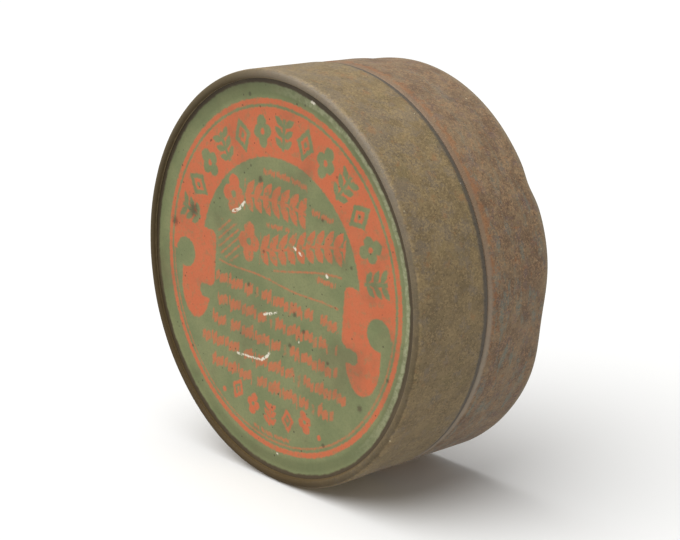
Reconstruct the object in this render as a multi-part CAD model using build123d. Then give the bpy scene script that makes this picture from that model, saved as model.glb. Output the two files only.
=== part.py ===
from build123d import *
import math
import os

# Round slip-lid tinplate tin for a wax paste polish, lying on its base: lid up, axis along +Z.
#
# The tin is two rolled strips of tinplate, each closed by a lapped and soldered side seam. One is the lid's
# skirt and one the body's wall. A pressed disc closes each: the strip's edge is rolled over and round the
# disc, which sits below the rolled rim. A collar soldered inside the body's mouth stands proud of it, and
# the lid slips over that collar until its hem meets the body's shoulder. All sizes are in millimetres.

# Driving sizes
LID_RADIUS = 42.0
BODY_RADIUS = 41.85
SHEET = 0.3
HEIGHT = 35.7
SHOULDER_Z = 17.3
LID_EDGE_Z = 17.5

# Rolled rims, the same width on the lid's top and the body's bottom
RIM_WIDTH = 1.85
LID_RIM_BEND = 0.85
BASE_RIM_BEND = 0.75
RIM_LEG = 0.9
PANEL_DEPTH = 1.43
PANEL_STEP = 0.48
PANEL_STEP_RUN = 1.25
PANEL_STEP_BEND = 2.0
RIM_GAP = 0.05

# Lid hem and the collar that it slides on
FIT_CLEARANCE = 0.08
COLLAR_RADIUS = 41.0
HEM_RISE = 2.1
HEM_OUTER_BEND = 0.7
HEM_INNER_BEND = 0.2
HEM_FOLD_BEND = 0.1
SHOULDER_BEND = 0.8

COLLAR_TOP_Z = 31.0
COLLAR_FOOT_Z = 8.0
JOGGLE_LOW_Z = 14.4
JOGGLE_HIGH_Z = 15.6
MOUTH_CURL_WIDTH = 0.9
MOUTH_CURL_DROP = 1.1
MOUTH_CURL_BEND = 0.42
MOUTH_FOLD_BEND = 0.1

# Paste
PASTE_CLEARANCE = 0.1
PASTE_TOP_Z = 19.0
PASTE_HOLLOW_RADIUS = 31.0
PASTE_HOLLOW_DEPTH = 2.5
PASTE_EDGE_BEND = 0.6

# Side seams
SOLDER_WIDTH = 2.4
SOLDER_HEIGHT = 0.15
SEAM_END_GAP = 1.0
LID_SEAM_ANGLE = 200
BODY_SEAM_ANGLE = 160


def turned(*corners):
    """A solid of revolution about Z. Each corner of its section is (radius, height, bend radius or 0)."""
    points = [(r, z) for r, z, _ in corners]
    section = Sketch() + make_face(Polyline(*points, close=True))
    for r, z, bend in corners:
        if bend:
            corner = section.vertices().sort_by_distance((r, z, 0))[0]
            section = fillet(corner, bend)
    return revolve(Plane.XZ * section, Axis.Z)


def step_shift(run, rise):
    """How far a bend moves along the sheet from one face to the other, where it steps by run and rise."""
    return SHEET * math.tan(math.atan2(rise, run) / 2)


def lid_skirt():
    """Lid's side strip: a hem folded inwards below, and a rim rolled inwards and down above."""
    inside = LID_RADIUS - SHEET
    bore = COLLAR_RADIUS + FIT_CLEARANCE
    fold = bore + SHEET
    hem_top = LID_EDGE_Z + HEM_RISE
    leg = LID_RADIUS - RIM_WIDTH
    leg_end = HEIGHT - RIM_LEG
    inner_bend = LID_RIM_BEND - SHEET
    return turned(
        (bore, hem_top, 0),
        (bore, LID_EDGE_Z, HEM_INNER_BEND),
        (LID_RADIUS, LID_EDGE_Z, HEM_OUTER_BEND),
        (LID_RADIUS, HEIGHT, LID_RIM_BEND),
        (leg, HEIGHT, LID_RIM_BEND),
        (leg, leg_end, 0),
        (leg + SHEET, leg_end, 0),
        (leg + SHEET, HEIGHT - SHEET, inner_bend),
        (inside, HEIGHT - SHEET, inner_bend),
        (inside, LID_EDGE_Z + SHEET, HEM_INNER_BEND),
        (fold, LID_EDGE_Z + SHEET, HEM_FOLD_BEND),
        (fold, hem_top, 0),
    )


def seamed_disc(wall_radius):
    """A pressed disc, face up, with its edge stepped up to the rolled rim, whose crest is at Z 0."""
    edge = wall_radius - SHEET
    step_out = wall_radius - RIM_WIDTH
    step_in = step_out - PANEL_STEP_RUN
    low = -PANEL_DEPTH
    high = -RIM_LEG - RIM_GAP
    shift = step_shift(PANEL_STEP_RUN, PANEL_STEP)
    return turned(
        (0, low, 0),
        (step_in, low, PANEL_STEP_BEND),
        (step_out, high, 0),
        (edge, high, 0),
        (edge, high - SHEET, 0),
        (step_out + shift, high - SHEET, 0),
        (step_in + shift, low - SHEET, PANEL_STEP_BEND + SHEET),
        (0, low - SHEET, 0),
    )


def lid_panel():
    """Printed disc in the lid's rolled rim."""
    return Pos(0, 0, HEIGHT) * seamed_disc(LID_RADIUS)


def base_plate():
    """Disc in the body's rolled bottom rim, face down."""
    return Rot(180, 0, 0) * seamed_disc(BODY_RADIUS)


def body_wall():
    """Body's side strip: a shoulder turned in to the collar above, and a rim rolled inwards and up below."""
    inside = BODY_RADIUS - SHEET
    leg = BODY_RADIUS - RIM_WIDTH
    inner_bend = BASE_RIM_BEND - SHEET
    return turned(
        (leg, RIM_LEG, 0),
        (leg, 0, BASE_RIM_BEND),
        (BODY_RADIUS, 0, BASE_RIM_BEND),
        (BODY_RADIUS, SHOULDER_Z, SHOULDER_BEND),
        (COLLAR_RADIUS, SHOULDER_Z, 0),
        (COLLAR_RADIUS, SHOULDER_Z - SHEET, 0),
        (inside, SHOULDER_Z - SHEET, SHOULDER_BEND - SHEET),
        (inside, SHEET, inner_bend),
        (leg + SHEET, SHEET, inner_bend),
        (leg + SHEET, RIM_LEG, 0),
    )


def neck_collar():
    """Collar soldered inside the body: set out against the wall below, and with a curled mouth above."""
    wall = BODY_RADIUS - SHEET
    inside = COLLAR_RADIUS - SHEET
    curl = COLLAR_RADIUS - MOUTH_CURL_WIDTH
    curl_end = COLLAR_TOP_Z - MOUTH_CURL_DROP
    shift = step_shift(JOGGLE_HIGH_Z - JOGGLE_LOW_Z, wall - COLLAR_RADIUS)
    return turned(
        (wall, COLLAR_FOOT_Z, 0),
        (wall, JOGGLE_LOW_Z, 0),
        (COLLAR_RADIUS, JOGGLE_HIGH_Z, 0),
        (COLLAR_RADIUS, COLLAR_TOP_Z, MOUTH_CURL_BEND),
        (curl, COLLAR_TOP_Z, MOUTH_CURL_BEND),
        (curl, curl_end, 0),
        (curl + SHEET, curl_end, 0),
        (curl + SHEET, COLLAR_TOP_Z - SHEET, MOUTH_FOLD_BEND),
        (inside, COLLAR_TOP_Z - SHEET, MOUTH_FOLD_BEND),
        (inside, JOGGLE_HIGH_Z - shift, 0),
        (wall - SHEET, JOGGLE_LOW_Z - shift, 0),
        (wall - SHEET, COLLAR_FOOT_Z, 0),
    )


def polish_cake():
    """Wax paste on the base plate, worn to a shallow hollow in its middle."""
    radius = COLLAR_RADIUS - SHEET - PASTE_CLEARANCE
    cake = turned(
        (0, PANEL_DEPTH + SHEET, 0),
        (radius, PANEL_DEPTH + SHEET, 0),
        (radius, PASTE_TOP_Z, PASTE_EDGE_BEND),
        (0, PASTE_TOP_Z, 0),
    )
    ball_radius = (PASTE_HOLLOW_RADIUS**2 + PASTE_HOLLOW_DEPTH**2) / (2 * PASTE_HOLLOW_DEPTH)
    ball_z = PASTE_TOP_Z - PASTE_HOLLOW_DEPTH + ball_radius
    return cake - Pos(0, 0, ball_z) * Sphere(ball_radius)


def seam_solder(wall_radius, low, high, angle):
    """Bead of solder along a strip's lapped side seam, on the outside of the wall."""
    span = math.degrees(SOLDER_WIDTH / wall_radius)
    outline = Polyline(
        (wall_radius, low),
        (wall_radius + SOLDER_HEIGHT, low),
        (wall_radius + SOLDER_HEIGHT, high),
        (wall_radius, high),
        close=True,
    )
    bead = revolve(Plane.XZ * make_face(outline), Axis.Z, span)
    return Rot(0, 0, angle - span / 2) * bead


def lid_seam_solder():
    """Solder on the lid skirt's side seam."""
    low = LID_EDGE_Z + SEAM_END_GAP
    high = HEIGHT - SEAM_END_GAP
    return seam_solder(LID_RADIUS, low, high, LID_SEAM_ANGLE)


def body_seam_solder():
    """Solder on the body wall's side seam."""
    low = SEAM_END_GAP
    high = SHOULDER_Z - SEAM_END_GAP
    return seam_solder(BODY_RADIUS, low, high, BODY_SEAM_ANGLE)


PIECES = {
    "lid_skirt": lid_skirt,
    "lid_panel": lid_panel,
    "lid_seam_solder": lid_seam_solder,
    "body_wall": body_wall,
    "neck_collar": neck_collar,
    "base_plate": base_plate,
    "body_seam_solder": body_seam_solder,
    "polish_cake": polish_cake,
}

os.makedirs("parts", exist_ok=True)
for name, make in PIECES.items():
    export_step(make(), f"parts/{name}.step")
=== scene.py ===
import math

import bmesh
import bpy
import numpy as np
from mathutils import Matrix, Vector, noise


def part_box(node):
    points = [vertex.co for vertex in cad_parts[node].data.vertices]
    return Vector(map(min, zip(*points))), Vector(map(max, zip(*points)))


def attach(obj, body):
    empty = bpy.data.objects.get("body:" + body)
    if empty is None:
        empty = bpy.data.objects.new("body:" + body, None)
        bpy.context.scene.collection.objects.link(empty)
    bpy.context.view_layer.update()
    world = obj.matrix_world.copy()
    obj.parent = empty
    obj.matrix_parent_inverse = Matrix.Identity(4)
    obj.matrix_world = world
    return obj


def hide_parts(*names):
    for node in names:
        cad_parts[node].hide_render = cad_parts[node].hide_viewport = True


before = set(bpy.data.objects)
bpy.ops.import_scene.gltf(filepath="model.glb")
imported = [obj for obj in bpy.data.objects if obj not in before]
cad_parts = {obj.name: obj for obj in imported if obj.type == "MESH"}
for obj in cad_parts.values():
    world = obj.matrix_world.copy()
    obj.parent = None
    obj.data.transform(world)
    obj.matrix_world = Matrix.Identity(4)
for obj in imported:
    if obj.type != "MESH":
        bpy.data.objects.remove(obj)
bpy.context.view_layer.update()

# Sizes are in millimetres, and times MM where Blender needs metres. These are the ones that the frame's
# boxes don't give. Seams are at an angle round the tin, in degrees from +X.
MM = 0.001
SHEET = 0.3
PANEL_DEPTH = 1.43
RIM_WIDTH = 1.85
RIM_LEG = 0.9
RIM_GAP = 0.05
COLLAR_RADIUS = 41.0
COLLAR_FOOT_Z = 8.0
LID_BORE = COLLAR_RADIUS + 0.08
SOLDER_HALF_WIDTH = 1.2
LID_SEAM_ANGLE = 200
BODY_SEAM_ANGLE = 160

# In a strip's section, inner faces further out than this are on its wall, and the rest are on its folds
WALL_INSIDE = 41.15


def extent(node):
    """A CAD node's outer radius, lowest and highest point, in millimetres."""
    low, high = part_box(node)
    return max(high[0], -low[0]) / MM, low[2] / MM, high[2] / MM


LID_RADIUS, LID_EDGE_Z, HEIGHT = extent("lid_skirt")
BODY_RADIUS, _, SHOULDER_Z = extent("body_wall")
PANEL_Z = HEIGHT - PANEL_DEPTH


# ---- Colour and pattern helpers -------------------------------------------------------------------------

def srgb(red, green, blue):
    """A colour as a screen shows it, 0 to 255, in Blender's linear values."""
    def linear(v):
        v /= 255
        return v / 12.92 if v <= 0.04045 else ((v + 0.055) / 1.055) ** 2.4
    return (linear(red), linear(green), linear(blue), 1.0)


class Num:
    """A number that varies over a surface: the output of a node, with arithmetic that adds more nodes."""

    def __init__(self, graph, socket):
        self.graph = graph
        self.socket = socket

    def __add__(self, other):
        return self.graph.math("ADD", self, other)

    def __sub__(self, other):
        return self.graph.math("SUBTRACT", self, other)

    def __rsub__(self, other):
        return self.graph.math("SUBTRACT", other, self)

    def __mul__(self, other):
        return self.graph.math("MULTIPLY", self, other)

    def __truediv__(self, other):
        return self.graph.math("DIVIDE", self, other)

    def __abs__(self):
        return self.graph.math("ABSOLUTE", self)

    __radd__ = __add__
    __rmul__ = __mul__


class Graph:
    """A material and the nodes that work out its colour. Positions are in millimetres in the tin's frame."""

    def __init__(self, name):
        self.material = bpy.data.materials.new(name)
        self.material.use_nodes = True
        self.tree = self.material.node_tree
        self.shader = self.tree.nodes["Principled BSDF"]
        coordinates = self.tree.nodes.new("ShaderNodeTexCoord")
        scaled = self.vector("SCALE", coordinates.outputs["Object"], scale=1 / MM)
        self.place = scaled
        split = self.tree.nodes.new("ShaderNodeSeparateXYZ")
        self.tree.links.new(scaled, split.inputs[0])
        self.x, self.y, self.z = (Num(self, s) for s in split.outputs)
        self.radius = self.math("SQRT", self.x * self.x + self.y * self.y)

    def put(self, socket, value):
        """Links a socket to a value, or sets it."""
        if isinstance(value, Num):
            value = value.socket
        if isinstance(value, bpy.types.NodeSocket):
            self.tree.links.new(value, socket)
        else:
            socket.default_value = value

    def math(self, operation, *values):
        node = self.tree.nodes.new("ShaderNodeMath")
        node.operation = operation
        for socket, value in zip(node.inputs, values):
            self.put(socket, value)
        return Num(self, node.outputs[0])

    def vector(self, operation, *values, scale=None):
        node = self.tree.nodes.new("ShaderNodeVectorMath")
        node.operation = operation
        for socket, value in zip(node.inputs, values):
            self.put(socket, value)
        if scale is not None:
            node.inputs["Scale"].default_value = scale
        return node.outputs[0]

    def most(self, first, second):
        return self.math("MAXIMUM", first, second)

    def wave(self, value):
        return self.math("SINE", value)

    def smooth(self, value, low, high):
        """0 below low, 1 above high, and a smooth step between. With low above high it falls."""
        node = self.tree.nodes.new("ShaderNodeMapRange")
        node.interpolation_type = "SMOOTHSTEP"
        for name, v in (("Value", value), ("From Min", low), ("From Max", high)):
            self.put(node.inputs[name], v)
        return Num(self, node.outputs["Result"])

    def inside(self, distance, soft=0.1):
        """1 where a distance is below 0, with a soft edge."""
        return self.smooth(distance, soft, -soft)

    def cells(self, size, stretch, seed):
        """The position in cells of size millimetres times stretch, moved by seed."""
        place = self.vector("MULTIPLY", self.place, tuple(1 / (size * s) for s in stretch))
        return self.vector("ADD", place, (seed, seed * 1.7, seed * 2.3))

    def noise(self, size, detail=2.0, rough=0.5, stretch=(1, 1, 1), seed=0.0):
        """Cloudy noise, about 0.5 on average. Its features are about size millimetres, times stretch."""
        node = self.tree.nodes.new("ShaderNodeTexNoise")
        self.put(node.inputs["Vector"], self.cells(size, stretch, seed))
        node.inputs["Scale"].default_value = 1.0
        node.inputs["Detail"].default_value = detail
        node.inputs["Roughness"].default_value = rough
        return Num(self, node.outputs["Fac"])

    def specks(self, spacing, share, radius, seed):
        """Round specks, one in each of a share of cells spacing apart, each up to radius millimetres."""
        node = self.tree.nodes.new("ShaderNodeTexVoronoi")
        self.put(node.inputs["Vector"], self.cells(spacing, (1, 1, 1), seed))
        node.inputs["Scale"].default_value = 1.0
        split = self.tree.nodes.new("ShaderNodeSeparateColor")
        self.tree.links.new(node.outputs["Color"], split.inputs[0])
        chosen = self.smooth(Num(self, split.outputs[0]), share + 0.01, share - 0.01)
        reach = (Num(self, split.outputs[1]) * 0.7 + 0.3) * (radius / spacing)
        return chosen * self.smooth(Num(self, node.outputs["Distance"]) / reach, 1.0, 0.55)

    def attribute(self, name):
        node = self.tree.nodes.new("ShaderNodeAttribute")
        node.attribute_name = name
        return Num(self, node.outputs["Fac"])

    def mix(self, factor, first, second):
        """A colour: first where factor is 0 and second where it is 1."""
        node = self.tree.nodes.new("ShaderNodeMix")
        node.data_type = "RGBA"
        node.clamp_factor = True
        # This node's sockets share their names, so they are taken by number
        self.put(node.inputs[0], factor)
        self.put(node.inputs[6], first)
        self.put(node.inputs[7], second)
        return node.outputs[2]

    def finish(self, colour, roughness, metallic=0.0, height=None, bump=0.1, distance=0.1, coat=0.0):
        """Sets the shader. height is in millimetres of relief times distance."""
        for name, value in (("Base Color", colour), ("Roughness", roughness), ("Metallic", metallic),
                            ("Coat Weight", coat)):
            self.put(self.shader.inputs[name], value)
        if height is not None:
            node = self.tree.nodes.new("ShaderNodeBump")
            node.inputs["Strength"].default_value = bump
            node.inputs["Distance"].default_value = distance * MM
            self.put(node.inputs["Height"], height)
            self.tree.links.new(node.outputs[0], self.shader.inputs["Normal"])
        return self.material


# ---- The print on the lid --------------------------------------------------------------------------------
# Each shape below is a signed distance in millimetres, below 0 inside it. There's no lettering.

def union(*shapes):
    return np.minimum.reduce(shapes)


def overlap(*shapes):
    return np.maximum.reduce(np.broadcast_arrays(*shapes))


def step(value, low, high):
    """0 below low, 1 above high, and a smooth step between. With low above high it falls."""
    t = np.clip((value - low) / (high - low), 0, 1)
    return t * t * (3 - 2 * t)


def leaf(u, v, half_length, half_width, turn):
    """A leaf centred on u, v, its length turned from the u axis by turn degrees."""
    c, s = math.cos(math.radians(turn)), math.sin(math.radians(turn))
    along = u * c + v * s
    across = v * c - u * s
    return abs(across) + along**2 * (half_width / half_length**2) - half_width


def box(u, v, half_width, half_height, corner):
    a = np.maximum(abs(u) - (half_width - corner), 0)
    b = np.maximum(abs(v) - (half_height - corner), 0)
    return np.hypot(a, b) - corner


def span(x, start, end):
    """Between two limits along a row."""
    return abs(x - (start + end) / 2) - (end - start) / 2


def sprig(u, v):
    """A stem with three pairs of leaves."""
    side = abs(u)
    stem = overlap(side - 0.42, abs(v + 0.2) - 3.2)
    return union(stem, *(leaf(side - 1.4, v - at, 1.55, 0.72, 40) for at in (-1.9, 0.2, 2.3)))


def lozenge(u, v):
    """A diamond frame with a solid diamond in it."""
    shape = abs(u) * 1.36 + abs(v)
    return union(overlap(shape - 3.6, 1.95 - shape), shape - 0.8) * 0.6


def quatrefoil(u, v):
    """Four round petals about an open eye."""
    side, up = abs(u), abs(v)
    petals = union(np.hypot(side - 1.3, up), np.hypot(side, up - 1.95)) - 1.35
    return overlap(petals, 0.6 - np.hypot(u, v))


def ornaments(u, v, index):
    """The three ornaments in turn, by the number of the place along the row."""
    return np.choose(index.astype(int) % 3, (sprig(u, v), lozenge(u, v), quatrefoil(u, v)))


def garland(x, y, start, end, line):
    """Bold leaves in pairs on a stem that follows line, from x start to end."""
    pitch = 2.7
    v = y - line
    u = x - (np.floor(x / pitch) + 0.5) * pitch
    row = union(leaf(u, v - 1.5, 2.3, 0.98, 54), leaf(u, v + 1.5, 2.3, 0.98, -54), abs(v) - 0.34)
    return overlap(row, span(x, start, end))


def dashes(x, v, row, start, end, tall):
    """A row of small slanted leaves of uneven length, in groups."""
    pitch = tall * 1.05
    place = np.floor(x / pitch)
    u = x - (place + 0.5) * pitch
    pick = np.sin(place * 2.4 + row * 1.7) + np.sin(place * 5.1 + row * 0.6)
    length = tall * (1.15 + 0.55 * step(pick, 0.9, 1.1))
    shapes = leaf(u, v - 0.3 * tall * np.sin(place * 1.9), length, tall * 0.58, 66)
    gaps = 0.2 - abs(np.sin(x * 0.83 + row * 2.4) + np.sin(x * 0.47 + row * 4.1 + 1.0) + 0.2)
    return overlap(shapes, gaps * 3.0, span(x, start, end))


def small_rows(x, y):
    """Five rows of small leaves, where the tin has small print."""
    rows = []
    for row, half in enumerate((19.3, 19.3, 19.8, 22.9, 19.3)):
        v = y + 4.3 + 4.63 * row + np.sin(x * 0.35 + row) * 0.12
        rows.append(dashes(x, v, row, -0.4 - half, half - 0.4, 1.25))
    return union(*rows)


def solid_print(x, y):
    """The ring, the arch with its ornaments, the garlands and the row at the foot."""
    r = np.hypot(x, y)
    side = abs(x)
    from_top = np.arctan2(x, y)
    ring = abs(r - 35.55) - 0.55

    # The arch: a broad band over the top that ends in a scroll on each side
    band = overlap(abs(r - 29.5) - 4.9, -y)
    body = overlap(box(side - 28.2, y + 1.2, 8.2, 6.0, 1.6), r - 34.4)
    tail = (np.hypot((side - 26.2) / 4.9, (y + 8.2) / 7.4) - 1) * 4.9
    notch = np.hypot(side - 30.1, y + 2.2) - 3.2
    beside = overlap(31.0 - side, y + 2.2)
    cut = box(side - 19.6, y + 8.8, 5.2, 1.45, 1.3)
    arch = overlap(union(band, body, tail), -notch, -beside, -cut)
    pitch = math.radians(12.6)
    index = np.round(from_top / pitch)
    marks = ornaments((from_top - index * pitch) * 29.6, r - 29.6, index)
    arch = overlap(arch, -overlap(marks, (abs(index) - 6.5) * 4))

    # The middle: two garlands, with a rosette at the head of each
    upper = garland(x, y, -11.2, 7.8, np.sin(x * 0.16 + 1.5) * 0.7 + 15.2)
    lower = garland(x, y, -5.6, 19.6, swell(x) * 3.2 + 8.2)
    heads = [quatrefoil((x - hx) * 0.8, (y - hy) * 0.8) * 1.2 for hx, hy in ((-14.6, 14.2), (-9.2, 5.6))]

    # The foot: five ornaments along the bottom, between two dots
    foot_pitch = math.radians(10.9)
    from_foot = np.arctan2(x, -y)
    foot_index = np.round(from_foot / foot_pitch)
    fu = (from_foot - foot_index * foot_pitch) * 28.8 * 1.35
    foot = ornaments(fu, (28.8 - r) * 1.35, foot_index) * 0.74
    foot = overlap(foot, (abs(foot_index) - 2.5) * 4)
    dots = np.hypot(side - 15.2, y + 28.4) - 0.6
    return union(ring, arch, upper, lower, foot, dots, *heads)


def swell(x):
    """The rise of the lower garland, -1 to 1."""
    return np.sin((x - 6) * (math.pi / 28))


def fine_print(x, y):
    """Thin lines and rows of small leaves, in thinner ink."""
    shapes = [
        abs(np.hypot(x, y) - 34.2) - 0.16,
        small_rows(x, y),
        dashes(x, y - 21.3 + x * x * 0.012, 7.0, -5.5, 7.8, 0.6),
        dashes(x, y - 17.3 + x * 0.08, 9.0, 9.4, 15.8, 0.6),
        dashes(x, y - 3.7, 11.0, 11.6, 17.4, 0.6),
        dashes(x, y - 11.4 - swell(x), 13.0, -4.0, 4.2, 0.5),
        dashes(x, y + 33.1 - x * x * 0.015, 15.0, -5.0, 6.6, 0.45),
        overlap(abs(y - swell(x) * 2.4 - 3.4) - 0.16, span(x, -1, 19)),
        overlap(abs(y + 0.7 + np.sin(x * 0.3) * 0.25) - 0.14, abs(x) - 18.6),
    ]
    fan = abs(np.sin((y - x * 0.85 - 18) * 1.7)) * 0.55 - 0.2
    shapes.append(overlap(fan, np.hypot((x + 15.6) / 3.6, (y - 4.2) / 4.0) - 1))
    return union(*shapes)


# Scratches: the points along each, and its width. Stains: each one's centre and size. All are in the
# print's millimetres.
SCRATCHES = (
    (((-14.7, 10.6), (-12.6, 11.6), (-11.1, 13.3)), 0.62),
    (((4.6, 8.1), (5.2, 7.8)), 0.5),
    (((6.3, 7.4), (7.0, 7.1)), 0.45),
    (((14.6, 5.1), (14.9, 4.9)), 0.6),
    (((-3.3, -8.2), (-2.0, -7.6), (-0.9, -7.3)), 0.5),
    (((-0.2, -7.0), (0.6, -6.6)), 0.34),
    (((-11.4, -19.1), (-7.5, -18.6), (-3.5, -18.0)), 0.42),
    (((-3.5, -18.0), (-1.9, -16.8), (-1.2, -15.9)), 0.6),
    (((7.6, -10.5), (7.6, -10.7)), 0.4),
    (((7.7, 37.5), (8.6, 37.4)), 0.5),
    (((2.8, -36.5), (3.1, -36.5)), 0.4),
)
STAINS = (
    (-27.9, 7.6, 2.2), (-34.2, 3.5, 1.5), (21.5, 8.6, 0.6), (26.3, -18.2, 1.1), (33.3, -10.1, 0.6),
    (-8.6, -3.3, 0.7), (-4.3, 4.8, 0.6), (6.0, -5.4, 0.9), (8.9, -8.1, 0.7), (5.0, -12.2, 0.8),
    (16.5, -12.2, 0.6), (-6.3, 19.2, 1.1), (12.7, 15.7, 0.6),
)


def scratches(x, y):
    """Lines scratched to bare metal."""
    lines = []
    for points, width in SCRATCHES:
        for (ax, ay), (bx, by) in zip(points, points[1:]):
            dx, dy = bx - ax, by - ay
            along = np.clip(((x - ax) * dx + (y - ay) * dy) / (dx * dx + dy * dy), 0, 1)
            lines.append(np.hypot(x - ax - along * dx, y - ay - along * dy) - width / 2)
    return union(*lines)


def stains(x, y):
    """Dark spots, in millimetres from each one's edge as a share of its size."""
    return union(*(np.hypot(x - sx, y - sy) / reach - 1 for sx, sy, reach in STAINS))


# The print is a little off the tin's axis, in millimetres, and turned, in degrees
PRINT_CENTRE = (0.15, 0.10)
PRINT_TURN = 5


def add_print(piece):
    """Keeps the print's distances on the panel's points, in attributes that its material reads."""
    mesh = piece.data
    places = np.empty(len(mesh.vertices) * 3, "f")
    mesh.vertices.foreach_get("co", places)
    px, py = places[0::3] / MM - PRINT_CENTRE[0], places[1::3] / MM - PRINT_CENTRE[1]
    turn = math.radians(PRINT_TURN)
    x = px * math.cos(turn) - py * math.sin(turn)
    y = px * math.sin(turn) + py * math.cos(turn)
    for name, shape in (("solid_print", solid_print), ("fine_print", fine_print),
                        ("scratches", scratches), ("stains", stains)):
        values = np.clip(shape(x, y), -3, 3).astype("f")
        mesh.attributes.new(name, "FLOAT", "POINT").data.foreach_set("value", values)


# ---- Materials -------------------------------------------------------------------------------------------

def panel_paint():
    """Orange ink on green, worn, stained and scratched, with a margin that turns brown at the rim."""
    g = Graph("printed_panel")
    rag = g.noise(0.8, 2, 0.6, seed=3.1) - 0.5
    solid = g.inside(g.attribute("solid_print") + rag * 0.7, 0.2)
    fine_work = g.inside(g.attribute("fine_print") + rag * 0.7, 0.24)
    cloud = g.noise(9, 3, 0.6, seed=1)
    fine = g.noise(0.55, 3, 0.75, seed=2)
    green = g.mix(g.smooth(cloud, 0.3, 0.7), srgb(122, 130, 86), srgb(140, 143, 97))
    green = g.mix(g.smooth(fine, 0.4, 0.75) * 0.35, green, srgb(106, 112, 78))
    orange = g.mix(g.noise(6, 3, 0.6, seed=5), srgb(206, 103, 61), srgb(210, 117, 75))
    orange = g.mix(g.smooth(fine, 0.45, 0.8) * 0.4, orange, srgb(180, 98, 60))
    worn = g.smooth(g.noise(1.8, 4, 0.75, seed=7), 0.5, 0.68)
    middle = g.smooth(g.radius, 22, 19.5)
    ink = g.most(solid * (1 - middle * 0.16 - worn * (0.4 + middle * 0.3)), fine_work * (0.78 - worn * 0.4))
    colour = g.mix(ink, green, orange)

    # The margin: darker green towards the rim at top, bottom and +X; a narrow painted highlight on the +X
    # side; brown down to the rim, reaching further in on the +X side as painted shade
    edge_noise = g.noise(2.6, 3, 0.6, seed=11)
    facing = g.smooth(g.x * 0.94 + g.y * 0.34, 6, 34)
    hatch = g.smooth(g.noise(0.9, 3, 0.7, seed=12), 0.4, 0.6)
    outer = g.smooth(g.radius, 36.3, 37.4) * g.smooth(abs(g.y) + g.x * 0.4, 4, 36)
    colour = g.mix(outer * 0.5, colour, srgb(98, 104, 66))
    # Painted highlight: a pale strip on the panel's edge, only on the +X side, with a little hatching in it
    pale_highlight = g.smooth(g.radius + edge_noise * 0.9, 37.45, 38.0)
    colour = g.mix(pale_highlight * facing * (0.2 + hatch * 0.4), colour, srgb(186, 186, 150))
    # Brown patina at the rim; the facing term widens it on the +X side as painted shade in the step under
    # the crest
    brown = g.smooth(g.radius + edge_noise * 0.8 + facing * 1.15, 39.5, 40.0)
    colour = g.mix(brown, colour, srgb(72, 58, 34))

    pits = g.specks(1.7, 0.5, 0.3, seed=4)
    grime = g.specks(4.2, 0.4, 0.6, seed=9)
    dark = g.most(pits * 0.7, grime * 0.55)
    colour = g.mix(dark, colour, srgb(62, 54, 38))
    stain = g.noise(13, 4, 0.6, seed=13)
    colour = g.mix(g.smooth(stain, 0.48, 0.72) * 0.36, colour, srgb(106, 90, 62))
    spot = g.smooth(g.attribute("stains") + (fine - 0.5) * 1.6, 0.0, -0.8)
    colour = g.mix(spot * 0.62, colour, srgb(70, 48, 32))
    bare = g.inside(g.attribute("scratches") + rag * 0.5, 0.14)
    bare = bare * g.smooth(g.noise(0.45, 2, 0.6, seed=15), 0.34, 0.5)
    colour = g.mix(bare, colour, srgb(240, 232, 210))
    rough = 0.5 + fine * 0.2 - bare * 0.2
    height = fine * 0.4 + g.noise(2.5, 3, 0.6, seed=6) * 0.7 - pits * 0.8 + ink * 0.1 - bare * 0.3
    return g.finish(colour, rough, 0.0, height, 0.3, 0.16, 0.05)


def tin_wear(g, colour, seed, gold, dark):
    """Golden and dark grain, as thin lacquer over rusting tin has."""
    grain = g.noise(0.5, 2, 0.8, seed=seed)
    patch = g.noise(4, 3, 0.7, seed=seed + 1)
    colour = g.mix(g.smooth(grain + patch * 0.4, 0.68, 0.86) * 0.6, colour, gold)
    pits = g.smooth(g.noise(0.6, 3, 0.8, seed=seed + 2), 0.52, 0.7)
    colour = g.mix(pits * 0.48, colour, dark)
    specks = g.specks(1.5, 0.4, 0.22, seed=seed + 3)
    colour = g.mix(specks * 0.6, colour, gold)
    return colour, grain, pits


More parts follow.
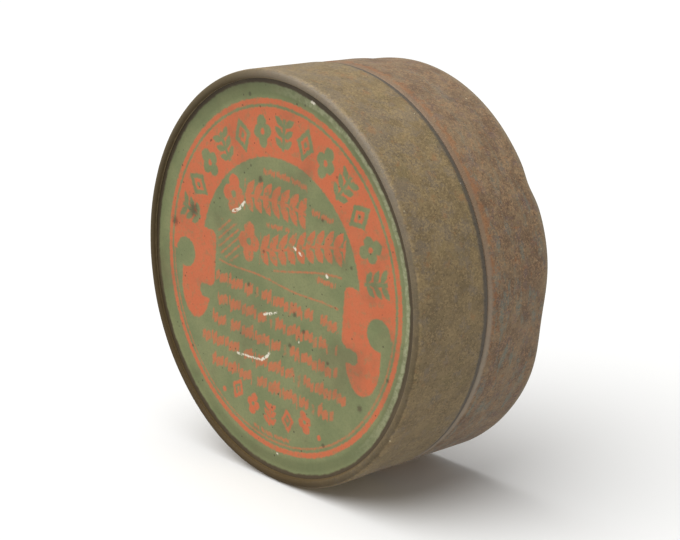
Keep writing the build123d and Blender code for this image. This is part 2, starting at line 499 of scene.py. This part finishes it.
def skirt_paint():
    """Golden lacquer over rusting tinplate, greyer towards the top of the photograph."""
    g = Graph("lid_tinplate")
    tone = g.noise(4.5, 4, 0.72, seed=21)
    colour = g.mix(g.smooth(tone, 0.32, 0.68), srgb(129, 110, 77), srgb(155, 133, 94))
    greyer = g.smooth(g.y, 2, 24) * (0.05 + g.smooth(g.z, 24, 34) * 0.09)
    grey = g.smooth(g.noise(3.2, 4, 0.7, seed=22) + greyer, 0.5, 0.66)
    colour = g.mix(grey * 0.45, colour, srgb(138, 126, 112))
    olive = g.smooth(g.noise(8, 3, 0.6, seed=23), 0.52, 0.7)
    colour = g.mix(olive * 0.35, colour, srgb(126, 114, 70))
    colour, grain, pits = tin_wear(g, colour, 24, srgb(181, 155, 110), srgb(84, 69, 50))
    rust = g.smooth(g.noise(3.0, 4, 0.72, seed=28) + g.smooth(g.y, 0, 42) * 0.05, 0.58, 0.74)
    colour = g.mix(rust * 0.45, colour, srgb(172, 122, 76))

    # The rim: a crest with a painted grey reflection, lighter towards +Y; a darker grime line inside it and
    # brown down to the panel, both painted lighter towards +Y; on the far side brown all over, partly
    # tarnish and partly a painted dark reflection
    ragged = g.noise(2.2, 4, 0.7, seed=30)
    near = g.smooth(g.x + g.y * 0.25, -6, 22)
    high = g.smooth(g.y, -34, 36)
    shoulder = g.smooth(g.z + ragged * 0.7, 35.45, 35.8)
    # Painted reflection and shade: the crest grey and lighter towards +Y, where light falls, dark brown
    # towards -Y
    crest = g.mix(g.smooth(g.y, -10, 38), srgb(78, 67, 46), srgb(134, 124, 110))
    colour = g.mix(shoulder * 0.65, colour, crest)
    # Grime line and brown inner wall, both painted lighter towards +Y as painted light
    rim_line = g.smooth(g.radius + ragged * 0.5, 40.65, 40.4) * g.smooth(g.z, 34.4, 34.7)
    colour = g.mix(rim_line * 0.5, colour, g.mix(high, srgb(82, 77, 64), srgb(140, 131, 113)))
    inner = g.smooth(g.radius, 40.5, 40.3) * g.smooth(g.z, 34.0, 34.3)
    colour = g.mix(inner, colour, g.mix(high, srgb(96, 76, 40), srgb(158, 142, 110)))
    # Far side of the rim: brown, partly tarnish and partly a painted dark reflection where it turns away
    # from the +X side; a little lighter towards +Y as painted light
    far_rim = g.smooth(g.z + ragged * 0.5, 35.1, 35.5) * (1 - near)
    colour = g.mix(far_rim * 0.95, colour, g.mix(high, srgb(78, 61, 30), srgb(88, 75, 48)))

    # Painted shade: a little darker towards +Y, the upper side
    colour = g.mix(g.smooth(g.y, 20, 42) * 0.2, colour, srgb(104, 88, 62))
    # Painted shade: the hem's rounded edge is dark and greyish where it turns in at the gap over the body
    hem = g.smooth(g.z + ragged * 0.8, 19.6, 18.8)
    colour = g.mix(hem * 0.8, colour, srgb(84, 79, 73))
    near_glints = g.smooth(g.z, 19.0, 18.4) * g.smooth(abs(g.y - 21), 15, 6)
    glints = g.specks(1.0, 0.34, 0.3, seed=34) * near_glints
    colour = g.mix(glints * 0.75, colour, srgb(206, 196, 178))
    bright = g.specks(2.6, 0.16, 0.26, seed=33)
    colour = g.mix(bright * 0.75, colour, srgb(232, 216, 176))
    rough = 0.46 + grain * 0.2 + pits * 0.15 + far_rim * 0.3
    height = grain * 0.5 + g.noise(1.6, 4, 0.65, seed=31) - pits * 0.5
    return g.finish(colour, rough, 0.1, height, 0.4, 0.16, 0.04)


def body_paint():
    """Browner tinplate, with grey streaks, and rust below a painted highlight along the rounded shoulder
    where it meets the lid.
    """
    g = Graph("body_tinplate")
    tone = g.noise(4, 4, 0.72, seed=41)
    colour = g.mix(g.smooth(tone, 0.32, 0.68), srgb(122, 96, 72), srgb(158, 134, 102))
    mauve = g.smooth(g.noise(2.6, 4, 0.72, seed=42), 0.5, 0.64)
    colour = g.mix(mauve * 0.5, colour, srgb(130, 108, 102))
    streak = g.smooth(g.noise(3.0, 4, 0.66, stretch=(2.2, 2.2, 0.6), seed=43), 0.5, 0.64)
    low_side = g.smooth(g.y * -1.0 + g.x * 0.3, -30, 20)
    colour = g.mix(streak * (0.3 + low_side * 0.5), colour, srgb(132, 136, 122))
    colour, grain, pits = tin_wear(g, colour, 44, srgb(190, 152, 112), srgb(86, 66, 50))
    rust_noise = g.noise(2.0, 4, 0.74, seed=48)
    near_seam = g.smooth(g.z, 13.4, 16.2) * g.smooth(g.y, -22, 14)
    rust = g.smooth(rust_noise + near_seam * 0.2, 0.56, 0.74)
    colour = g.mix(rust * 0.6, colour, srgb(168, 112, 70))
    # Painted highlight: a pale tan band along the shoulder's rounded edge under the lid, darker towards +Y
    # as painted shade
    line = g.smooth(g.z + rust_noise * 1.0, 16.4, 17.1)
    tan = g.mix(g.smooth(g.y, -14, 24), srgb(180, 164, 144), srgb(140, 118, 94))
    colour = g.mix(line * 0.75, colour, tan)
    # Painted shade: a little darker towards +Y, the upper side
    colour = g.mix(g.smooth(g.y, 18, 42) * 0.28, colour, srgb(104, 84, 64))
    foot = g.smooth(g.z - rust_noise * 1.6, 1.0, 0.0)
    colour = g.mix(foot * 0.5, colour, srgb(164, 148, 122))
    bright = g.specks(2.4, 0.12, 0.26, seed=50)
    colour = g.mix(bright * 0.6, colour, srgb(220, 200, 166))
    rough = 0.46 + grain * 0.2 + pits * 0.15
    height = grain * 0.4 + g.noise(1.8, 4, 0.65, seed=51) - pits * 0.5 - rust * 0.3
    return g.finish(colour, rough, 0.1, height, 0.4, 0.18, 0.04)


def bare_tin(name, seed, tint, stain):
    """Bare tarnished tinplate, for the surfaces that are inside."""
    g = Graph(name)
    colour = g.mix(g.noise(7, 4, 0.6, seed=seed), tint, stain)
    rust = g.smooth(g.noise(2.4, 4, 0.72, seed=seed + 1), 0.58, 0.72)
    colour = g.mix(rust * 0.7, colour, srgb(122, 84, 52))
    grain = g.noise(0.5, 3, 0.7, stretch=(6, 6, 0.5), seed=seed + 2)
    rough = 0.34 + rust * 0.35 + grain * 0.12
    height = grain * 0.4 + rust * 0.6
    return g.finish(colour, rough, 0.7, height, 0.3, 0.1)


def solder_metal():
    g = Graph("solder")
    cloud = g.noise(1.3, 4, 0.65, seed=71)
    colour = g.mix(cloud, srgb(134, 128, 118), srgb(182, 176, 162))
    rust = g.smooth(g.noise(0.9, 4, 0.7, seed=72), 0.52, 0.68)
    colour = g.mix(rust * 0.7, colour, srgb(134, 104, 74))
    return g.finish(colour, 0.42 + rust * 0.3, 0.3, cloud, 0.5, 0.2)


def wax_paste():
    g = Graph("wax_paste")
    swirl = g.noise(6, 3, 0.6, seed=81)
    dust = g.smooth(g.noise(2.0, 4, 0.7, seed=82), 0.55, 0.75)
    colour = g.mix(swirl, srgb(22, 20, 20), srgb(38, 35, 32))
    colour = g.mix(dust * 0.35, colour, srgb(92, 86, 78))
    strokes = g.wave(g.radius * 3.2 + swirl * 9)
    height = strokes * 0.3 + g.noise(1.1, 4, 0.6, seed=83)
    return g.finish(colour, 0.35 + dust * 0.3, 0.0, height, 0.4, 0.25, 0.15)


# ---- Meshes ----------------------------------------------------------------------------------------------

SEGMENTS = 420
LONGEST = 0.9
PANEL_SEGMENTS = 600
PRINT_GRID = 0.26
PRINT_EDGE = 37
PLAIN_GRID = 1.3


def rounded(corners, longest):
    """A closed section's points, from corners (radius, height, bend): arcs at its bends, and straight
    stretches cut at least every longest(r, z) millimetres."""
    count = len(corners)
    points = []
    for i, (r, z, bend) in enumerate(corners):
        here = Vector((r, z))
        if not bend:
            points.append(here)
            continue
        before = (Vector(corners[i - 1][:2]) - here).normalized()
        after = (Vector(corners[(i + 1) % count][:2]) - here).normalized()
        half = before.angle(after) / 2
        reach = bend / math.tan(half)
        centre = here + (before + after).normalized() * (bend / math.sin(half))
        first, last = here + before * reach - centre, here + after * reach - centre
        turn = first.angle_signed(last)
        steps = max(2, math.ceil(abs(turn) / math.radians(16)))
        points += [centre + Matrix.Rotation(-turn * k / steps, 2) @ first for k in range(steps + 1)]
    spread = []
    for a, b in zip(points, points[1:] + points[:1]):
        parts = max(1, math.ceil((b - a).length / longest(*((a + b) / 2))))
        spread += [a.lerp(b, k / parts) for k in range(parts)]
    return spread


def lathe(name, corners, warp, materials, choose=None, segments=SEGMENTS, longest=lambda r, z: LONGEST):
    """A closed solid of revolution, in millimetres. warp(angle, r, z) moves a point and gives r, z.
    choose(r, z, rise) gives a face's material, from its place in the section and whether it goes up or
    down."""
    section = rounded(corners, longest)
    count = len(section)
    mesh = bmesh.new()
    rings = []
    for i in range(segments):
        angle = 2 * math.pi * i / segments
        c, s = math.cos(angle), math.sin(angle)
        ring = []
        for r, z in section:
            wr, wz = warp(angle, r, z)
            ring.append(mesh.verts.new((wr * c * MM, wr * s * MM, wz * MM)))
        rings.append(ring)
    for i in range(segments):
        ring, following = rings[i], rings[(i + 1) % segments]
        for j in range(count):
            k = (j + 1) % count
            face = mesh.faces.new((ring[j], following[j], following[k], ring[k]))
            face.smooth = True
            if choose:
                middle = (section[j] + section[k]) / 2
                face.material_index = choose(middle.x, middle.y, section[k].y - section[j].y)
    bmesh.ops.remove_doubles(mesh, verts=mesh.verts, dist=1e-6)
    bmesh.ops.dissolve_degenerate(mesh, edges=mesh.edges, dist=1e-7)
    bmesh.ops.recalc_face_normals(mesh, faces=mesh.faces)
    data = bpy.data.meshes.new(name)
    mesh.to_mesh(data)
    mesh.free()
    for material in materials:
        data.materials.append(material)
    data.set_sharp_from_angle(angle=math.radians(50))
    piece = bpy.data.objects.new(name, data)
    bpy.context.scene.collection.objects.link(piece)
    return piece


def bump_at(angle, z, at_angle, at_z, wide, high):
    """A soft bump, 1 at its middle: wide and high are its half sizes, in millimetres on the wall."""
    turn = (angle - math.radians(at_angle) + math.pi) % (2 * math.pi) - math.pi
    across = turn * BODY_RADIUS / wide
    up = (z - at_z) / high
    return math.exp(-across * across - up * up)


def ripple(angle, z, size, seed):
    """Smooth noise round the wall, -1 to 1."""
    place = Vector((math.cos(angle), math.sin(angle), 0)) * (BODY_RADIUS / size)
    return noise.noise(place + Vector((seed, seed, z / size)))


# Dents: angle, height, half width, half height, depth in millimetres
BODY_DENTS = (
    (-8.0, -1.0, 9.0, 8.0, 0.95),
    (29.5, -1.0, 3.2, 5.0, 0.4),
    (36.0, 0.0, 8.0, 7.0, 0.2),
    (98.0, -2.0, 14.0, 20.0, 0.45),
    (150.0, 6.0, 9.0, 5.0, 0.5),
    (235.0, 3.0, 8.0, 6.0, 0.45),
)
LID_DENTS = (
    (70.0, 26.0, 10.0, 6.0, 0.12),
    (185.0, 29.0, 9.0, 5.0, 0.35),
    (300.0, 24.0, 12.0, 6.0, 0.2),
)


def dented(angle, z, dents):
    return sum(depth * bump_at(angle, z, at, up, wide, high) for at, up, wide, high, depth in dents)


def lift(r, z, dent):
    """A dent at the foot pushes the rolled edge up as well as in."""
    near_edge = min(1.0, max(0.0, (r / BODY_RADIUS - 0.8) / 0.15))
    return 0.55 * dent * near_edge * min(1.0, max(0.0, (6.0 - z) / 5.0))


def warp_body(angle, r, z):
    """Dents below the collar's foot, and slight waviness."""
    dent = dented(angle, z, BODY_DENTS) * min(1.0, max(0.0, (COLLAR_FOOT_Z - z) / 3.0))
    wave = min(1.0, max(0.0, (SHOULDER_Z - 2.0 - z) / 3.0))
    r -= dent + wave * (0.03 + 0.03 * ripple(angle, z, 14, 3.0))
    return r, z + lift(r, z, dent)


def warp_base(angle, r, z):
    """The base plate follows the wall's dents at its edge, and is a little uneven."""
    edge = min(1.0, max(0.0, (r / BODY_RADIUS - 0.8) / 0.15))
    dent = dented(angle, z, BODY_DENTS)
    rise = lift(r, z, dent)
    r -= edge * dent
    place = Vector((math.cos(angle) * r / 16, math.sin(angle) * r / 16, 5.0))
    rise += 0.12 * noise.noise(place) * min(1.0, max(0.0, (38.5 - r) / 8))
    return r, z + rise


def warp_skirt(angle, r, z):
    """Slight dents and waviness, none at the hem, which has to slide on the collar."""
    free = min(1.0, max(0.0, (z - LID_EDGE_Z - 0.8) / 4.0))
    r -= free * (dented(angle, z, LID_DENTS) + 0.03 + 0.03 * ripple(angle, z, 12, 9.0))
    crest = max(0.0, (z - PANEL_Z) / (HEIGHT - PANEL_Z))
    z -= crest * (0.05 + 0.05 * ripple(angle, 0, 7, 17.0))
    return r, z


def warp_panel(angle, r, z):
    """The printed disc is a little uneven, as thin tinplate is."""
    place = Vector((math.cos(angle) * r / 13, math.sin(angle) * r / 13, 8.0))
    z += 0.16 * noise.noise(place) * min(1.0, max(0.0, (37.5 - r) / 8))
    return r, z


def warp_paste(angle, r, z):
    """Brush strokes and slumps in the paste's top. Its foot follows the base plate."""
    if z < 10:
        return r, z + lift(r, z, dented(angle, z, BODY_DENTS))
    place = Vector((math.cos(angle) * r / 7, math.sin(angle) * r / 7, 2.0))
    dip = 0.35 * noise.noise(place) + 0.12 * math.sin(r * 1.6 + 2 * noise.noise(place * 0.5))
    return r, z - 0.4 + dip * min(1.0, max(0.0, (41.5 - r) / 3))


def skirt_corners():
    """The lid's strip: from the hem folded inwards, up the wall, over the rim and back down its leg."""
    fold = LID_BORE + SHEET
    inside = LID_RADIUS - SHEET
    leg = LID_RADIUS - RIM_WIDTH
    hem_top = LID_EDGE_Z + 2.1
    leg_end = HEIGHT - RIM_LEG
    return (
        (LID_BORE, hem_top, 0),
        (LID_BORE, LID_EDGE_Z, 0.2),
        (LID_RADIUS - 0.28, LID_EDGE_Z, 0.35),
        (LID_RADIUS, LID_EDGE_Z + 1.9, 3.0),
        (LID_RADIUS, HEIGHT, 1.15),
        (leg, HEIGHT, 0.6),
        (leg, leg_end, 0),
        (leg + SHEET, leg_end, 0),
        (leg + SHEET, HEIGHT - SHEET, 0.3),
        (inside, HEIGHT - SHEET, 0.85),
        (inside, LID_EDGE_Z + 1.85, 2.7),
        (inside - 0.24, LID_EDGE_Z + SHEET, 0.05),
        (fold, LID_EDGE_Z + SHEET, 0.03),
        (fold, hem_top, 0),
    )


def disc_corners(wall_radius, crest, up):
    """The pressed disc in a rolled rim whose crest is at height crest, facing up (1) or down (-1)."""
    step_out = wall_radius - RIM_WIDTH
    step_in = step_out - 1.25
    low, high = crest - PANEL_DEPTH * up, crest - (RIM_LEG + RIM_GAP) * up
    shift = SHEET * math.tan(math.atan2(abs(high - low), step_out - step_in) / 2)
    back = SHEET * up
    return (
        (0, low, 0),
        (step_in, low, 2.0),
        (step_out, high, 0),
        (wall_radius - SHEET, high, 0),
        (wall_radius - SHEET, high - back, 0),
        (step_out + shift, high - back, 0),
        (step_in + shift, low - back, 2.3),
        (0, low - back, 0),
    )


def body_corners():
    """The body's strip: from the rim's leg, out and up the wall, and in over the shoulder to the collar."""
    inside = BODY_RADIUS - SHEET
    leg = BODY_RADIUS - RIM_WIDTH
    return (
        (leg, RIM_LEG, 0),
        (leg, 0, 0.75),
        (BODY_RADIUS, 0, 0.75),
        (BODY_RADIUS, SHOULDER_Z - 1.65, 3.0),
        (BODY_RADIUS - 0.35, SHOULDER_Z, 0.45),
        (COLLAR_RADIUS, SHOULDER_Z, 0),
        (COLLAR_RADIUS, SHOULDER_Z - SHEET, 0),
        (inside - 0.33, SHOULDER_Z - SHEET, 0.15),
        (inside, SHOULDER_Z - 1.7, 2.7),
        (inside, SHEET, 0.45),
        (leg + SHEET, SHEET, 0.45),
        (leg + SHEET, RIM_LEG, 0),
    )


def paste_corners():
    """A cake with rounded edges, worn to a shallow dish in the middle."""
    radius, low, high = extent("polish_cake")
    return (
        (0, low, 0),
        (radius, low, 0),
        (radius, high, 0.6),
        (31.0, high, 6.0),
        (24.0, high - 1.3, 8.0),
        (12.0, high - 2.3, 8.0),
        (0, high - 2.5, 0),
    )


def solder_bead(name, node, radius, angle, seed, warp, material):
    """An uneven bead of solder on a wall's outside, over its lapped seam."""
    _, low, high = extent(node)
    mesh = bmesh.new()
    rows, columns = 60, 10
    half = math.degrees(SOLDER_HALF_WIDTH / radius)
    grid = []
    for i in range(rows + 1):
        z = low + (high - low) * i / rows
        spread = half * (0.78 + 0.2 * noise.noise(Vector((z / 1.6, seed, 0))))
        shift = 0.18 * half * noise.noise(Vector((z / 3.0, seed, 4)))
        ends = min(1.0, (z - low) / 1.0, (high - z) / 1.0)
        row = []
        for j in range(columns + 1):
            across = j / columns * 2 - 1
            turn = math.radians(angle + shift + across * spread)
            tall = (1 - across * across) * (0.11 + 0.04 * noise.noise(Vector((z / 0.8, across * 1.3, seed))))
            r, _ = warp(turn, radius, z)
            r += tall * ends - 0.01
            row.append(mesh.verts.new((r * math.cos(turn) * MM, r * math.sin(turn) * MM, z * MM)))
        grid.append(row)
    for a, b in zip(grid, grid[1:]):
        for j in range(columns):
            mesh.faces.new((a[j], a[j + 1], b[j + 1], b[j])).smooth = True
    bmesh.ops.recalc_face_normals(mesh, faces=mesh.faces)
    data = bpy.data.meshes.new(name)
    mesh.to_mesh(data)
    mesh.free()
    data.materials.append(material)
    piece = bpy.data.objects.new(name, data)
    bpy.context.scene.collection.objects.link(piece)
    thick = piece.modifiers.new("thickness", "SOLIDIFY")
    thick.thickness = 0.1 * MM
    thick.offset = -1.0
    return piece


def place_piece(piece, body, node):
    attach(piece, body)
    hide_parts(node)


def build_tin():
    lid_inside = bare_tin("lid_inside", 61, srgb(140, 134, 122), srgb(112, 100, 82))
    body_inside = bare_tin("body_inside", 64, srgb(132, 124, 112), srgb(104, 90, 72))
    collar_metal = bare_tin("collar_tinplate", 67, srgb(150, 143, 130), srgb(122, 108, 88))
    solder = solder_metal()

    def wall_face(r, z, rise):
        return 1 if rise < 0 and r > WALL_INSIDE else 0

    skirt = lathe("lid_skirt_shell", skirt_corners(), warp_skirt, [skirt_paint(), lid_inside], wall_face)
    place_piece(skirt, "lid", "lid_skirt")

    def panel_face(r, z, rise):
        return 1 if z < PANEL_Z - 0.1 and r < 41 else 0

    def panel_grid(r, z):
        return PRINT_GRID if r < PRINT_EDGE and z > PANEL_Z - 0.1 else PLAIN_GRID

    panel = lathe("lid_panel_disc", disc_corners(LID_RADIUS, HEIGHT, 1), warp_panel,
                  [panel_paint(), lid_inside], panel_face, PANEL_SEGMENTS, panel_grid)
    add_print(panel)
    place_piece(panel, "lid", "lid_panel")

    body_metal = body_paint()
    wall = lathe("body_wall_shell", body_corners(), warp_body, [body_metal, body_inside], wall_face)
    place_piece(wall, "tin_body", "body_wall")

    def base_face(r, z, rise):
        return 1 if z > PANEL_DEPTH + 0.12 else 0

    base = lathe("base_plate_disc", disc_corners(BODY_RADIUS, 0, -1), warp_base,
                 [body_metal, body_inside], base_face)
    place_piece(base, "tin_body", "base_plate")
    paste = lathe("polish_cake_used", paste_corners(), warp_paste, [wax_paste()], segments=240)
    place_piece(paste, "tin_body", "polish_cake")

    for name, node, radius, angle, seed, warp, body in (
        ("lid_solder_bead", "lid_seam_solder", LID_RADIUS, LID_SEAM_ANGLE, 2.0, warp_skirt, "lid"),
        ("body_solder_bead", "body_seam_solder", BODY_RADIUS, BODY_SEAM_ANGLE, 5.0, warp_body, "tin_body"),
    ):
        bead = solder_bead(name, node, radius, angle, seed, warp, solder)
        place_piece(bead, body, node)

    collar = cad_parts["neck_collar"]
    collar.data.materials.clear()
    collar.data.materials.append(collar_metal)


# ---- Stage, light and camera -----------------------------------------------------------------------------

FLOOR_RADIUS = 1.6
# How much of the light, other than straight to the camera, the floor stops
FLOOR_BOUNCE = 0.35


def add_floor():
    """A pale floor under the tin as the photograph stands it: on its side, so that the floor is upright in
    the tin's own frame. Only its front can be seen, and it lets most of the surroundings' light through, so
    that the tin isn't black where other views look at it from below."""
    mesh = bmesh.new()
    bmesh.ops.create_circle(mesh, cap_ends=True, segments=96, radius=FLOOR_RADIUS)
    data = bpy.data.meshes.new("floor")
    mesh.to_mesh(data)
    mesh.free()
    floor = bpy.data.objects.new("floor", data)
    bpy.context.scene.collection.objects.link(floor)
    floor.location = (0, -LID_RADIUS * MM, HEIGHT / 2 * MM)
    floor.rotation_euler = (math.radians(-90), 0, 0)
    material = bpy.data.materials.new("floor")
    material.use_nodes = True
    tree = material.node_tree
    shader = tree.nodes["Principled BSDF"]
    shader.inputs["Base Color"].default_value = (0.86, 0.86, 0.85, 1)
    shader.inputs["Roughness"].default_value = 0.9
    clear = tree.nodes.new("ShaderNodeBsdfTransparent")
    path = tree.nodes.new("ShaderNodeLightPath")
    geometry = tree.nodes.new("ShaderNodeNewGeometry")
    seen = tree.nodes.new("ShaderNodeMath")
    seen.operation = "MAXIMUM"
    seen.inputs[1].default_value = FLOOR_BOUNCE
    tree.links.new(path.outputs["Is Camera Ray"], seen.inputs[0])
    front = tree.nodes.new("ShaderNodeMath")
    front.operation = "SUBTRACT"
    front.use_clamp = True
    tree.links.new(seen.outputs[0], front.inputs[0])
    tree.links.new(geometry.outputs["Backfacing"], front.inputs[1])
    mixer = tree.nodes.new("ShaderNodeMixShader")
    tree.links.new(front.outputs[0], mixer.inputs[0])
    tree.links.new(clear.outputs[0], mixer.inputs[1])
    tree.links.new(shader.outputs[0], mixer.inputs[2])
    tree.links.new(mixer.outputs[0], tree.nodes["Material Output"].inputs["Surface"])
    data.materials.append(material)


def add_sun():
    """One broad soft light from above and a little to the left, as in the photograph."""
    data = bpy.data.lights.new("sun", "SUN")
    data.energy = 3.25
    data.angle = math.radians(80)
    sun = bpy.data.objects.new("sun", data)
    bpy.context.scene.collection.objects.link(sun)
    sun.rotation_mode = "QUATERNION"
    sun.rotation_quaternion = Vector((0.2, -1.0, -0.45)).to_track_quat("-Z", "Y")


def add_world():
    """Even light from all round. The camera sees it as a white backdrop."""
    world = bpy.data.worlds.new("studio")
    bpy.context.scene.world = world
    world.use_nodes = True
    tree = world.node_tree
    around = tree.nodes["Background"]
    around.inputs["Color"].default_value = (1.0, 1.0, 1.0, 1)
    around.inputs["Strength"].default_value = 0.34
    seen = tree.nodes.new("ShaderNodeBackground")
    seen.inputs["Color"].default_value = (1, 1, 1, 1)
    path = tree.nodes.new("ShaderNodeLightPath")
    mixer = tree.nodes.new("ShaderNodeMixShader")
    tree.links.new(path.outputs["Is Camera Ray"], mixer.inputs[0])
    tree.links.new(around.outputs[0], mixer.inputs[1])
    tree.links.new(seen.outputs[0], mixer.inputs[2])
    tree.links.new(mixer.outputs[0], tree.nodes["World Output"].inputs["Surface"])


def add_camera():
    """The photograph's view: the tin stands on its side, so that up in the picture is +Y here."""
    yaw, pitch = math.radians(48.50), math.radians(14.335)
    level = math.cos(pitch)
    forward = Vector((-math.sin(yaw) * level, -math.sin(pitch), -math.cos(yaw) * level))
    right = forward.cross(Vector((0, 1, 0))).normalized()
    up = right.cross(forward)
    data = bpy.data.cameras.new("camera")
    data.lens = 85.40
    data.sensor_width = 36.0
    data.clip_start = 0.01
    camera = bpy.data.objects.new("camera", data)
    bpy.context.scene.collection.objects.link(camera)
    camera.matrix_world = Matrix((right, up, -forward)).transposed().to_4x4()
    camera.location = (0.2400, 0.0812, 0.2297)
    bpy.context.scene.camera = camera


add_camera()
build_tin()
add_floor()
add_world()
add_sun()
bpy.context.scene.view_settings.view_transform = "Standard"
